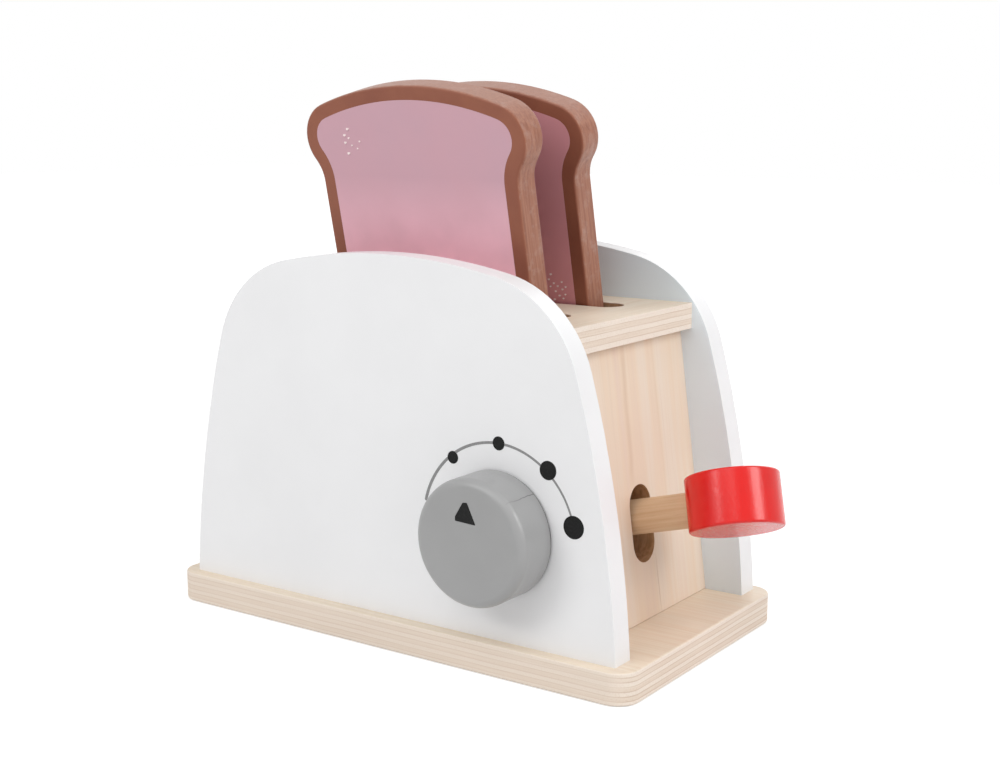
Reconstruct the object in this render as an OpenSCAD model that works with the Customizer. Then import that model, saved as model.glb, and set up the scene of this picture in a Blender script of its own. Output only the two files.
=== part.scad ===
// Toy toaster: a wooden play toaster with a rocking lever, a lift tray and two bread slices.
// X runs along the toaster towards the lever, Y towards the back and Z up.
// The origin is the middle of the base board's underside. All sizes are in millimetres.

/* [Base board] */
// Length of the base board
base_l = 180; // [172:1:220]
// Width of the base board
base_w = 98; // [92:1:120]
// Thickness of the base board
base_t = 10.1; // [8:0.1:14]
// Radius of the base board's upright corners
base_corner_r = 7.3; // [2:0.1:14]

/* [Side panels] */
// Step from the base board's end to the foot of a side panel
panel_end_step = 6.2; // [3:0.1:10]
// Height of a side panel above the base board
panel_h = 114.2; // [108:0.1:122]
// Thickness of a side panel
panel_t = 8.4; // [7:0.1:10]
// Step from the base board's long edge to a panel's outer face
panel_inset = 4.1; // [1:0.1:8]
// Inward lean of a panel's end edge at its foot, in degrees
panel_lean = 3.3; // [1:0.1:5]
// Radius of a panel's long end curve
panel_end_r = 387; // [360:1:450]
// Radius of a panel's shoulder
shoulder_r = 37.6; // [30:0.1:45]
// Radius of a panel's domed top
panel_top_r = 201.5; // [180:0.5:240]

/* [End walls] */
// Step from the base board's end to the foot of an end wall
wall_step = 19.5; // [15:0.1:22]
// Height of an end wall above the base board
wall_h = 87.1; // [84:0.1:94]
// Thickness of an end wall
wall_t = 8.4; // [7:0.1:10]
// Lean of an end wall from upright, in degrees
wall_slant = 7.6; // [5:0.1:9]

/* [Top board] */
// Length of the top board beyond the top of each end wall
top_overhang = 4.2; // [2:0.1:8]
// Thickness of the top board
top_t = 8.4; // [7:0.1:10]
// Distance between the middles of the two bread slots
slot_pitch = 31.7; // [28:0.1:33]
// Gap between a slice and each long side of its slot
slot_side_gap = 0.9; // [0.5:0.1:1.5]
// Gap between a slice's head and each end of its slot
slot_end_gap = 6; // [3:0.1:7]

/* [Bread slices] */
// Height of a slice
slice_h = 106.8; // [98:0.1:112]
// Width of a slice below its head
slice_w = 75.9; // [70:0.1:80]
// Width of a slice across its head
slice_head_w = 85; // [83:0.1:90]
// Thickness of a slice
slice_t = 9.5; // [8:0.1:10]
// Lean of the slices towards the front, in degrees
slice_lean = 12.4; // [5:0.1:13.5]
// Distance of the slices from the middle of their slots, towards the lever
slice_shift = 1.4; // [0:0.1:2]
// Length of a slice that hangs below the top of the top board
slice_below = 35; // [30:0.5:40]
// Radius of a slice's domed top
crown_r = 104; // [80:1:140]
// Radius of the round lobe on each side of a slice's head
lobe_r = 11.5; // [9:0.5:14]
// Radius of the hollow under each lobe
neck_r = 12; // [4:0.5:14]
// Radius of a slice's lower corners
slice_foot_r = 6; // [3:0.5:10]

/* [Lever] */
// Diameter of the lever's rod
rod_d = 11; // [9:0.1:12]
// Upward slope of the rod towards its knob at rest, in degrees
rod_slope = 14.8; // [12:0.1:16]
// Angle through which the knob can be pressed down, in degrees
press_angle = 23; // [15:0.5:23]
// Height of the rod's middle above the base board, at the end wall's outer face
rod_h = 32.3; // [30:0.1:34]
// Distance along the rod from the end wall's outer face in to the pivot pin
pivot_depth = 20.9; // [19:0.1:24]
// Length of the rod's inner arm, from the pivot pin
inner_arm = 72; // [68:0.5:73]
// Distance along the rod from the pivot pin to the middle of the knob
knob_reach = 53.9; // [50:0.1:60]
// Height of the middle of the knob above the middle of the rod
knob_rise = 0.7; // [0:0.1:2]
// Diameter of the knob
knob_d = 28.8; // [26:0.1:36]
// Height of the knob
knob_h = 16.9; // [15.5:0.1:24]
// Depth of the rod's hole in the knob
knob_seat = 13; // [8:0.5:16]
// Turn of the knob about the rod, in degrees
knob_roll = 17.8; // [0:0.1:20]
// Tip of the knob back towards the end wall, in degrees
knob_tip = 3; // [0:0.5:5]
// Gap between the pressed rod and the lower end of its slot
slot_gap_below = 0.4; // [0.3:0.1:2]
// Gap between the resting rod and the upper end of its slot
slot_gap_above = 4.6; // [1:0.1:6]
// Gap between the rod and each side of its slot
slot_gap_side = 1; // [0.5:0.1:1.5]
// Diameter of the pivot pin
pin_d = 4; // [3:0.1:5]
// Width of a pivot block along the toaster
block_l = 16; // [12:0.5:18]
// Thickness of a pivot block
block_t = 8; // [6:0.5:10]

/* [Lift tray] */
// Thickness of the tray board
tray_t = 6; // [4:0.5:8]
// Length of the tray beyond each side of the slices
tray_end_margin = 2; // [0:0.5:3]
// Width of the tray beyond the slices at the front and at the back
tray_side_margin = 4; // [2:0.5:6]
// Distance of the tray's leg from the middle of the toaster, towards the plain end
leg_x = 12; // [8:0.5:16]
// Thickness of the leg, whose round foot lies on the rod
leg_t = 12; // [8:0.5:14]
// Width of the leg from front to back
leg_w = 16; // [12:0.5:20]
// Diameter of the guide posts
post_d = 6; // [5:0.1:8]
// Distance between the two guide posts
post_pitch = 64; // [60:0.5:68]
// Depth of a guide post in the base board and in the top board
post_seat = 5; // [3:0.5:6]

/* [Dial] */
// Diameter of the dial knob
dial_d = 38.8; // [30:0.1:44]
// Depth of the dial knob
dial_depth = 15; // [12:0.5:22]
// Radius of the dial knob's front edge
dial_edge_r = 2.7; // [1:0.1:5]
// Distance of the dial from the middle of the toaster
dial_x = 42.6; // [38:0.1:46]
// Height of the dial's middle above the base board
dial_h = 33.4; // [30:0.1:38]
// Diameter of the dial's spindle
spindle_d = 8; // [6:0.1:10]
// Depth of the spindle's hole in the dial knob
spindle_seat = 10; // [6:0.5:11]
// Diameter of the collar behind the panel
collar_d = 18; // [14:0.5:22]
// Thickness of the collar
collar_t = 5; // [3:0.5:6]

/* [Joining dowels and screws] */
// Diameter of the joining dowels
dowel_d = 6; // [4:0.1:6.5]
// Depth of a joining dowel in a side panel
dowel_in_panel = 5.5; // [4:0.1:6]
// Depth of a joining dowel in an end wall or in the top board
dowel_in_board = 9.5; // [6:0.1:11]
// Distance between the two dowels in one side of an end wall
wall_dowel_pitch = 48; // [40:0.5:56]
// Distance between the two dowels in one side of the top board
top_dowel_pitch = 70; // [50:0.5:90]
// Diameter of a screw's shank
screw_d = 3.5; // [3:0.1:4]
// Diameter of a screw's head
screw_head_d = 7; // [6:0.1:8]
// Length of a panel screw
screw_l = 30; // [24:1:40]
// Distance between the screws of one panel
screw_pitch = 100; // [80:1:104]
// Length of a pivot block's screw
block_screw_l = 20; // [16:1:24]

/* [Clearances] */
// Radial gap of a part that turns on a pin or a spindle
running_gap = 0.08; // [0.04:0.01:0.1]
// Radial gap of a glued dowel or a screw in its hole
glue_gap = 0.02; // [0.01:0.01:0.05]
// Gap between a moving part and what it rests on
seat_gap = 0.2; // [0.1:0.05:0.3]
// Gap between a moving part and what it passes
slide_gap = 0.35; // [0.3:0.05:0.5]

/* [Hidden] */

$fn = 96;
arc_steps = 14;
// A length past every piece
far = 300;

// Heights of the main levels
under_top_z = base_t + wall_h;
top_z = under_top_z + top_t;

// Lengths that follow the base board
panel_w = base_l - 2 * panel_end_step;
walls_span = base_l - 2 * wall_step;
top_l = walls_span - 2 * wall_h * tan(wall_slant) + 2 * top_overhang;

// Faces of the side panels
panel_out_y = base_w / 2 - panel_inset;
panel_in_y = panel_out_y - panel_t;

// Bread slots, square to the slices that lean in them
slot_w = slice_t + 2 * slot_side_gap;
slot_l = slice_head_w + 2 * slot_end_gap;

// Pivot of the lever, found from the rod where it leaves the end wall
rod_r = rod_d / 2;
rod_exit_x = walls_span / 2 - rod_h * tan(wall_slant);
pivot_x = rod_exit_x - pivot_depth * cos(rod_slope);
pivot_z = base_t + rod_h - pivot_depth * sin(rod_slope);
block_y = rod_r + slide_gap + block_t / 2;

// Lowest corner of the rod's inner end
rest_x = pivot_x - inner_arm * cos(rod_slope) + rod_r * sin(rod_slope);
rest_z = pivot_z - inner_arm * sin(rod_slope) - rod_r * cos(rod_slope);

// Height along the end wall at which a line beside the sloping rod crosses the wall's outer face
function along_wall(slope, offset) =
    let (
        across = [-sin(slope), cos(slope)],
        from_wall_foot = [pivot_x - walls_span / 2, pivot_z - base_t],
        up_wall = [-sin(wall_slant), cos(wall_slant)]
    )
    (offset + across * from_wall_foot) / (across * up_wall);

rod_slot_w = rod_d + 2 * slot_gap_side;
rod_slot_low = along_wall(rod_slope - press_angle, -rod_r) - slot_gap_below;
rod_slot_high = along_wall(rod_slope, rod_r) + slot_gap_above;

// Lift tray, under the slices' front lower edges
slice_foot_z = top_z - slice_below * cos(slice_lean) - slice_t / 2 * sin(slice_lean);
slice_foot_y = slice_below * sin(slice_lean);
tray_top_z = slice_foot_z - seat_gap;
tray_l = slice_w + 2 * tray_end_margin;
tray_w = slot_pitch + slice_t + 2 * tray_side_margin;

// Middle of the leg's round foot, which lies on the rod. The tray moves along the lean of the
// slices, so the foot is set back by half of what it comes forward.
foot_r = leg_t / 2;
function foot_height(slope) =
    pivot_z - (pivot_x + leg_x) * tan(slope) + (rod_r + foot_r + seat_gap) / cos(slope);
foot_z = foot_height(rod_slope);
tray_lift = foot_height(rod_slope - press_angle) - foot_z;
foot_y = tray_lift * tan(slice_lean) / 2;

// Dial
dial_z = base_t + dial_h;
spindle_back_y = -panel_in_y + seat_gap + collar_t;

// Joining dowels, in the middle of each board's thickness
dowel_mid_y = panel_in_y + (dowel_in_panel - dowel_in_board) / 2;
dowel_l = dowel_in_panel + dowel_in_board;

// Screws
screw_y = panel_out_y - panel_t / 2;
screw_head_h = (screw_head_d - screw_d) / 2;

// Points along an arc about a centre, from one angle to another
function arc(centre, r, from, to) = [
    for (i = [0:arc_steps])
        let (a = from + (to - from) * i / arc_steps)
        [centre[0] + r * cos(a), centre[1] + r * sin(a)]
];

// An outline from its right half, which starts at the foot and ends on the middle line
function both_halves(right) = concat(right, [for (i = [len(right) - 2:-1:0]) [-right[i][0], right[i][1]]]);

// Right half of a side panel: end curve, shoulder and domed top, each tangent to the next
function panel_half() =
    let (
        end_centre = [panel_w / 2 - panel_end_r * cos(panel_lean), -panel_end_r * sin(panel_lean)],
        top_centre = [0, panel_h - panel_top_r],
        to_end = panel_end_r - shoulder_r,
        to_top = panel_top_r - shoulder_r,
        between = top_centre - end_centre,
        span = norm(between),
        along = (to_end * to_end - to_top * to_top + span * span) / (2 * span),
        across = sqrt(to_end * to_end - along * along),
        shoulder = end_centre + (along * between + across * [-between[1], between[0]]) / span,
        end_angle = atan2(shoulder[1] - end_centre[1], shoulder[0] - end_centre[0]),
        top_angle = atan2(shoulder[1] - top_centre[1], shoulder[0] - top_centre[0])
    )
    concat(
        arc(end_centre, panel_end_r, panel_lean, end_angle),
        arc(shoulder, shoulder_r, end_angle, top_angle),
        arc(top_centre, panel_top_r, top_angle, 90)
    );

// Right half of a bread slice: lower corner, hollow neck, round lobe and domed top
function slice_half() =
    let (
        crown = [0, slice_h - crown_r],
        lobe_x = slice_head_w / 2 - lobe_r,
        lobe = [lobe_x, crown[1] + sqrt(pow(crown_r - lobe_r, 2) - lobe_x * lobe_x)],
        neck_x = slice_w / 2 + neck_r,
        neck = [neck_x, lobe[1] - sqrt(pow(lobe_r + neck_r, 2) - pow(neck_x - lobe_x, 2))],
        crown_angle = atan2(lobe[1] - crown[1], lobe[0]),
        neck_angle = atan2(neck[1] - lobe[1], neck[0] - lobe[0])
    )
    concat(
        arc([slice_w / 2 - slice_foot_r, slice_foot_r], slice_foot_r, -90, 0),
        arc(neck, neck_r, 180, neck_angle + 180),
        arc(lobe, lobe_r, neck_angle, crown_angle),
        arc(crown, crown_r, crown_angle, 90)
    );

// Moves its children so that their Z axis runs along the lean of the slices and their origin lies
// at the top of the top board, y from the middle
module leaning(y) {
    translate([0, y, top_z])
        rotate([slice_lean, 0, 0])
            children();
}

// Moves its children to the pivot pin, with their X axis along the rod
module along_rod() {
    translate([pivot_x, 0, pivot_z])
        rotate([0, -rod_slope, 0])
            children();
}

// An upright board with the given outline in XZ, from y to y + t
module upright_board(outline, y, t) {
    translate([0, y + t, 0])
        rotate([90, 0, 0])
            linear_extrude(t)
                polygon(outline);
}

// A cylinder along Y, centred on y
module rod_along_y(r, l, y = 0) {
    translate([0, y, 0])
        rotate([90, 0, 0])
            cylinder(r = r, h = l, center = true);
}

// Places its children at each joining dowel: four in each end wall and four in the top board
module at_dowels() {
    wall_mid_x = walls_span / 2 - wall_t / 2 / cos(wall_slant);
    for (side = [-1, 1]) {
        for (end = [-1, 1]) {
            for (step = [-0.5, 0.5]) {
                h = wall_h / 2 + step * wall_dowel_pitch;
                translate([end * (wall_mid_x - h * tan(wall_slant)), side * dowel_mid_y, base_t + h])
                    children();
            }
            translate([end * top_dowel_pitch / 2, side * dowel_mid_y, under_top_z + top_t / 2])
                children();
        }
    }
}

module dowel_holes() {
    at_dowels()
        rod_along_y(dowel_d / 2 + glue_gap, dowel_l + 2 * glue_gap);
}

// A countersunk wood screw that points up from z = 0, with a cross recess in its head
module screw(l) {
    difference() {
        union() {
            cylinder(d1 = screw_head_d, d2 = screw_d, h = screw_head_h);
            cylinder(d = screw_d, h = l - screw_d);
            translate([0, 0, l - screw_d])
                cylinder(d1 = screw_d, d2 = screw_d / 5, h = screw_d);
        }
        for (turn = [0, 90])
            rotate([0, 0, turn])
                cube([screw_head_d * 0.55, screw_d * 0.25, screw_head_h], center = true);
    }
}

// The hole for such a screw
module screw_hole(l) {
    gap = 2 * glue_gap;
    translate([0, 0, -1])
        cylinder(d = screw_head_d + gap, h = 1 + seat_gap);
    translate([0, 0, seat_gap])
        cylinder(d1 = screw_head_d + gap, d2 = screw_d + gap, h = screw_head_h);
    cylinder(d = screw_d + gap, h = l + 2 * seat_gap);
}

module at_panel_screws() {
    for (x = [-0.5, 0.5])
        for (side = [-1, 1])
            translate([x * screw_pitch, side * screw_y, 0])
                children();
}

module at_block_screws() {
    for (side = [-1, 1])
        translate([pivot_x, side * block_y, 0])
            children();
}

module post_line(x) {
    leaning(0)
        translate([x, 0, -far / 2])
            children();
}

// The solid of a guide post, from inside the base board to inside the top board
module guide_post(x, r, seat) {
    intersection() {
        post_line(x)
            cylinder(r = r, h = far);
        translate([x - far / 2, -far / 2, base_t - seat])
            cube([far, far, wall_h + 2 * seat]);
    }
}

module base_board() {
    color("burlywood")
        difference() {
            linear_extrude(base_t) {
                square([base_l - 2 * base_corner_r, base_w], center = true);
                square([base_l, base_w - 2 * base_corner_r], center = true);
                for (x = [-1, 1])
                    for (y = [-1, 1])
                        translate([x * (base_l / 2 - base_corner_r), y * (base_w / 2 - base_corner_r)])
                            circle(r = base_corner_r);
            }
            at_panel_screws()
                screw_hole(screw_l);
            at_block_screws()
                screw_hole(block_screw_l);
            for (x = [-0.5, 0.5])
                guide_post(x * post_pitch, post_d / 2 + glue_gap, post_seat + glue_gap);
        }
}

module side_panel(y) {
    translate([0, 0, base_t])
        upright_board(both_halves(panel_half()), y, panel_t);
}

module front_panel() {
    color("whitesmoke")
        difference() {
            side_panel(-panel_out_y);
            translate([dial_x, 0, dial_z])
                rod_along_y(spindle_d / 2 + running_gap, 2 * panel_t, -panel_out_y);
            dowel_holes();
            at_panel_screws()
                screw_hole(screw_l);
        }
}

module rear_panel() {
    color("whitesmoke")
        difference() {
            side_panel(panel_in_y);
            dowel_holes();
            at_panel_screws()
                screw_hole(screw_l);
        }
}

// A slanted end wall between the two panels, on the +X side
module slanted_wall() {
    foot = walls_span / 2;
    level_t = wall_t / cos(wall_slant);
    shift = wall_h * tan(wall_slant);
    outline = [[foot - level_t, 0], [foot, 0], [foot - shift, wall_h], [foot - shift - level_t, wall_h]];
    difference() {
        translate([0, 0, base_t])
            upright_board(outline, -panel_in_y, 2 * panel_in_y);
        dowel_holes();
    }
}

// The round-ended slot that the rod passes through, square to the slanted wall
module rod_slot() {
    r = rod_slot_w / 2;
    translate([walls_span / 2, 0, base_t])
        rotate([0, -wall_slant, 0]) {
            translate([-2 * wall_t, -r, rod_slot_low + r])
                cube([3 * wall_t, 2 * r, rod_slot_high - rod_slot_low - 2 * r]);
            for (z = [rod_slot_low + r, rod_slot_high - r])
                translate([-2 * wall_t, 0, z])
                    rotate([0, 90, 0])
                        cylinder(r = r, h = 3 * wall_t);
        }
}

module lever_end_wall() {
    color("tan")
        difference() {
            slanted_wall();
            rod_slot();
        }
}

module plain_end_wall() {
    color("tan")
        mirror([1, 0, 0])
            slanted_wall();
}

// A round-ended bread slot along the lean of the slices
module bread_slot(y) {
    run = slot_l - slot_w;
    leaning(y)
        translate([0, 0, -2 * top_t]) {
            translate([-run / 2, -slot_w / 2, 0])
                cube([run, slot_w, 4 * top_t]);
            for (x = [-0.5, 0.5])
                translate([x * run, 0, 0])
                    cylinder(d = slot_w, h = 4 * top_t);
        }
}

module top_board() {
    color("burlywood")
        difference() {
            translate([-top_l / 2, -panel_in_y, under_top_z])
                cube([top_l, 2 * panel_in_y, top_t]);
            for (side = [-0.5, 0.5])
                bread_slot(side * slot_pitch);
            for (x = [-0.5, 0.5])
                guide_post(x * post_pitch, post_d / 2 + glue_gap, post_seat + glue_gap);
            dowel_holes();
        }
}

module lever_rod() {
    knob_bore_end = knob_reach - knob_d / 2 + knob_seat;
    color("wheat")
        along_rod()
            difference() {
                translate([-inner_arm, 0, 0])
                    rotate([0, 90, 0])
                        cylinder(r = rod_r, h = inner_arm + knob_bore_end);
                rod_along_y(pin_d / 2 + running_gap, 2 * rod_d);
            }
}

module lever_knob() {
    color("red")
        along_rod()
            difference() {
                translate([knob_reach, 0, knob_rise])
                    rotate([-knob_roll, 0, 0])
                        rotate([0, -knob_tip, 0])
                            cylinder(d = knob_d, h = knob_h, center = true);
                translate([knob_reach - knob_d, 0, 0])
                    rotate([0, 90, 0])
                        cylinder(r = rod_r + glue_gap, h = knob_d / 2 + knob_seat + glue_gap);
            }
}

module pivot_pin() {
    color("silver")
        translate([pivot_x, 0, pivot_z])
            rod_along_y(pin_d / 2, 2 * block_y + block_t);
}

// A block with a round top that holds one end of the pivot pin
module pivot_block(side) {
    difference() {
        translate([pivot_x, side * block_y, 0]) {
            translate([-block_l / 2, -block_t / 2, base_t])
                cube([block_l, block_t, pivot_z - base_t]);
            translate([0, 0, pivot_z])
                rod_along_y(block_l / 2, block_t);
        }
        translate([pivot_x, 0, pivot_z])
            rod_along_y(pin_d / 2 + glue_gap, far);
        at_block_screws()
            screw_hole(block_screw_l);
    }
}

module pivot_block_front() {
    color("tan")
        pivot_block(-1);
}

module pivot_block_rear() {
    color("tan")
        pivot_block(1);
}

module rest_pad() {
    color("dimgray")
        translate([rest_x, 0, base_t])
            cylinder(r = rod_r + 1, h = rest_z - seat_gap - base_t);
}

module tray_board() {
    color("burlywood")
        difference() {
            translate([-tray_l / 2, slice_foot_y - tray_w / 2, tray_top_z - tray_t])
                cube([tray_l, tray_w, tray_t]);
            for (x = [-0.5, 0.5])
                post_line(x * post_pitch)
                    cylinder(r = post_d / 2 + slide_gap, h = far);
        }
}

module tray_leg() {
    color("tan")
        translate([-leg_x, foot_y, 0]) {
            translate([-leg_t / 2, -leg_w / 2, foot_z])
                cube([leg_t, leg_w, tray_top_z - tray_t - foot_z]);
            translate([0, 0, foot_z])
                rod_along_y(foot_r, leg_w);
        }
}

module guide_post_lever_end() {
    color("wheat")
        guide_post(post_pitch / 2, post_d / 2, post_seat);
}

module guide_post_plain_end() {
    color("wheat")
        guide_post(-post_pitch / 2, post_d / 2, post_seat);
}

// Places its children on the dial's axis, with their Z axis out of the front panel's face
module on_dial_axis(y) {
    translate([dial_x, y, dial_z])
        rotate([90, 0, 0])
            children();
}

module dial_knob() {
    flat_r = dial_d / 2 - dial_edge_r;
    color("gray")
        on_dial_axis(-panel_out_y - seat_gap)
            difference() {
                rotate_extrude() {
                    square([dial_d / 2, dial_depth - dial_edge_r]);
                    square([flat_r, dial_depth]);
                    translate([flat_r, dial_depth - dial_edge_r])
                        intersection() {
                            circle(r = dial_edge_r);
                            square(dial_edge_r);
                        }
                }
                translate([0, 0, -1])
                    cylinder(d = spindle_d + 2 * glue_gap, h = spindle_seat + glue_gap + 1);
            }
}

module dial_spindle() {
    color("wheat")
        on_dial_axis(spindle_back_y)
            cylinder(d = spindle_d, h = spindle_back_y + panel_out_y + seat_gap + spindle_seat);
}

module dial_collar() {
    color("wheat")
        on_dial_axis(spindle_back_y)
            difference() {
                cylinder(d = collar_d, h = collar_t);
                translate([0, 0, -1])
                    cylinder(d = spindle_d + 2 * glue_gap, h = collar_t + 2);
            }
}

module bread_slice(y) {
    color("rosybrown")
        leaning(y)
            translate([slice_shift, 0, -slice_below])
                upright_board(both_halves(slice_half()), -slice_t / 2, slice_t);
}

module front_slice() {
    bread_slice(-slot_pitch / 2);
}

module rear_slice() {
    bread_slice(slot_pitch / 2);
}

module joining_dowels() {
    color("wheat")
        at_dowels()
            rod_along_y(dowel_d / 2, dowel_l);
}

module base_screws() {
    color("silver")
        at_panel_screws()
            translate([0, 0, seat_gap])
                screw(screw_l);
}

module block_screws() {
    color("silver")
        at_block_screws()
            translate([0, 0, seat_gap])
                screw(block_screw_l);
}

base_board();
front_panel();
rear_panel();
lever_end_wall();
plain_end_wall();
top_board();
lever_rod();
lever_knob();
pivot_pin();
pivot_block_front();
pivot_block_rear();
rest_pad();
tray_board();
tray_leg();
guide_post_lever_end();
guide_post_plain_end();
dial_knob();
dial_spindle();
dial_collar();
front_slice();
rear_slice();
joining_dowels();
base_screws();
block_screws();
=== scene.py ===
import bpy
import bmesh
import math
from mathutils import Matrix, Vector


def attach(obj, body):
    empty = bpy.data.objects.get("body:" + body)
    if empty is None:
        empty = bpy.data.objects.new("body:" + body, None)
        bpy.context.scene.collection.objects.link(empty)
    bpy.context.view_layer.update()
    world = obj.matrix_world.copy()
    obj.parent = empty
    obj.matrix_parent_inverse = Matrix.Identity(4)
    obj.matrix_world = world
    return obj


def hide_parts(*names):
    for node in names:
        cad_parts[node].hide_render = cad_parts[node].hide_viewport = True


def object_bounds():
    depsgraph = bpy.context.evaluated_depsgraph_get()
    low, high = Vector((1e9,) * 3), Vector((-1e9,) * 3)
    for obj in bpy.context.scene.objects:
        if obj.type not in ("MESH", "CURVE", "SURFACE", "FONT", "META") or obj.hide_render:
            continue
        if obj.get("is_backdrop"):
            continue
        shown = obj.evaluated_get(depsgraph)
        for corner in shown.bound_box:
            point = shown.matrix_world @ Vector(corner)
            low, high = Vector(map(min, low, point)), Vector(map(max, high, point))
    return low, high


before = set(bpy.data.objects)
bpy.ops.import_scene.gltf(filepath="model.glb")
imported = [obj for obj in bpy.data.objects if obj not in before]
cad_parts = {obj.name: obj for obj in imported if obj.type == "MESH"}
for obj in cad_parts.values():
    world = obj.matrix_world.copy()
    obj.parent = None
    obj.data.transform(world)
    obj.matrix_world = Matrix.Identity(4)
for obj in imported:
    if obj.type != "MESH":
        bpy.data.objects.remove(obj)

cadLow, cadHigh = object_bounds()
mm = 0.001
slack = 0.1  # in mm: an edge this near to a plane or an outline lies on it
print("toy toaster: frame loaded,", len(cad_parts), "nodes")


def hexColour(text):
    # an sRGB hex colour as the linear values that a socket takes
    parts = [int(text[i:i + 2], 16) / 255 for i in (1, 3, 5)]
    return [p / 12.92 if p <= 0.04045 else ((p + 0.055) / 1.055) ** 2.4 for p in parts] + [1.0]


def joinTo(tree, node, socket, source):
    # source is a node, whose first live output is taken, or a node and the name of an output
    if isinstance(source, tuple):
        output = source[0].outputs[source[1]]
    else:
        output = next(o for o in source.outputs if o.enabled)
    tree.links.new(output, node.inputs[socket])


def addNode(tree, kind, settings=None):
    # settings name properties, or the stops of a colour ramp, first, and then sockets
    # a socket takes a number, a hex colour, or what joinTo takes as its source
    node = tree.nodes.new("ShaderNode" + kind)
    for name, value in (settings or {}).items():
        if name == "stops":
            ramp = node.color_ramp.elements
            ramp.remove(ramp[1])
            ramp[0].position, ramp[0].color = value[0][0], hexColour(value[0][1])
            for at, colour in value[1:]:
                ramp.new(at).color = hexColour(colour)
        elif isinstance(name, str) and name not in node.inputs:
            setattr(node, name, value)
        elif isinstance(value, bpy.types.Node) or (isinstance(value, tuple) and isinstance(value[0], bpy.types.Node)):
            joinTo(tree, node, name, value)
        else:
            node.inputs[name].default_value = hexColour(value) if isinstance(value, str) else value
    return node


def startMaterial(name, finish):
    # a Principled surface with its constants, and the piece's own coordinates in mm
    material = bpy.data.materials.new(name)
    material.use_nodes = True
    tree = material.node_tree
    tree.nodes.clear()
    shader = addNode(tree, "BsdfPrincipled", finish)
    addNode(tree, "OutputMaterial", {"Surface": shader})
    place = addNode(tree, "TexCoord")
    inMm = addNode(tree, "VectorMath", {"operation": "SCALE", "Vector": (place, "Object"), "Scale": 1 / mm})
    return material, tree, shader, inMm


def woodGrain(tree, inMm, turn, along, across):
    # streaks that run along the grain: turn brings the grain onto X, along and across are a streak's size in mm
    laid = addNode(tree, "Mapping", {"Vector": inMm, "Rotation": turn})
    stretched = addNode(tree, "Mapping", {"Vector": laid, "Scale": (1 / along, 1 / across, 1 / across)})
    noise = {"Vector": stretched, "Scale": 1.0, "Detail": 4.0, "Roughness": 0.6, "Distortion": 0.25}
    return addNode(tree, "TexNoise", noise)


birchPly = {
    "face": "#E8DBC8", "faceDark": "#DFCCB4", "faceWarm": "#E9D6C0",
    "plyLight": "#F0E3D6", "plyDark": "#E6D5C4", "glue": "#CDB39B",
    "edgeMark": "#C9AE96", "edgePale": "#F3E8DA", "edgeBlur": "#EADACA",
    # in mm: streaks and clouds of the face along and across its grain, pores of an edge, how far a ply wanders
    "streak": (60, 1.1), "cloud": (90, 9), "poreSize": 0.5, "wander": 0.5,
    "glueLine": 0.02,  # half a glue line with its soft sides, as a share of the board
}


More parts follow.
